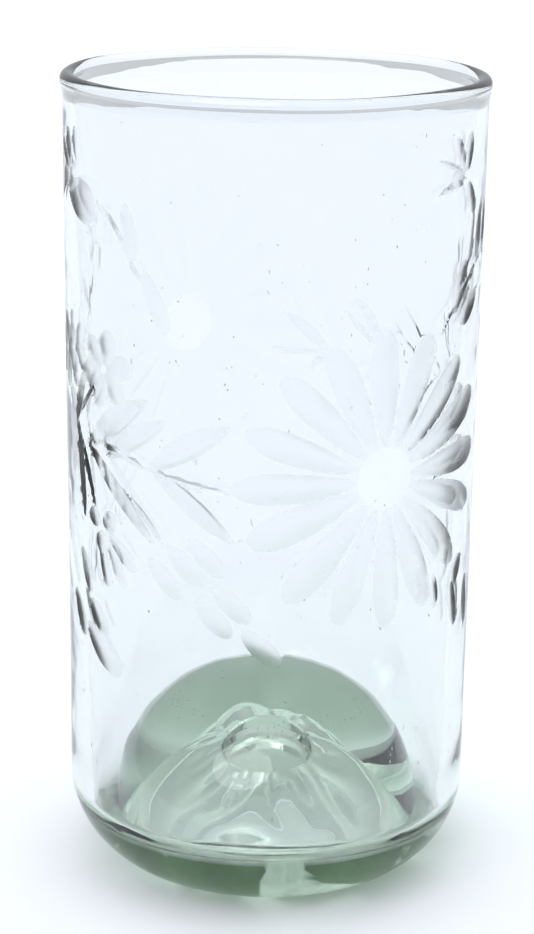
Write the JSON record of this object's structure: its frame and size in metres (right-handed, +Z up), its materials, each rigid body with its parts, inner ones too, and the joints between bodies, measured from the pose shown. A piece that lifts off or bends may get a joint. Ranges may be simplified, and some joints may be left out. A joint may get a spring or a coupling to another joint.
{
  "type": "pint glass",
  "caption": "Hand-blown pint tumbler with near-straight walls, a fire-polished lip and a heavy rounded base pushed up into a tall glass dome over its pontil seal.",
  "frame": {"origin": "centre of the ring that the glass stands on, at the height of the table", "axes": "+Z up along the axis of the glass, towards the mouth; the large daisy is on the side that faces -Y, a little towards +X"},
  "size_m": [0.0774, 0.0774, 0.15],
  "materials": {
    "lip_glass": "clear, fire-polished",
    "wall_glass": "clear with satin wheel-cut flowers outside",
    "base_glass": "clear, pale green where it is thick"
  },
  "bodies": {
    "root": {"lip": "lip_glass", "wall": "wall_glass", "base": "base_glass", "pontil_seal": "base_glass"}
  },
  "joints": []
}
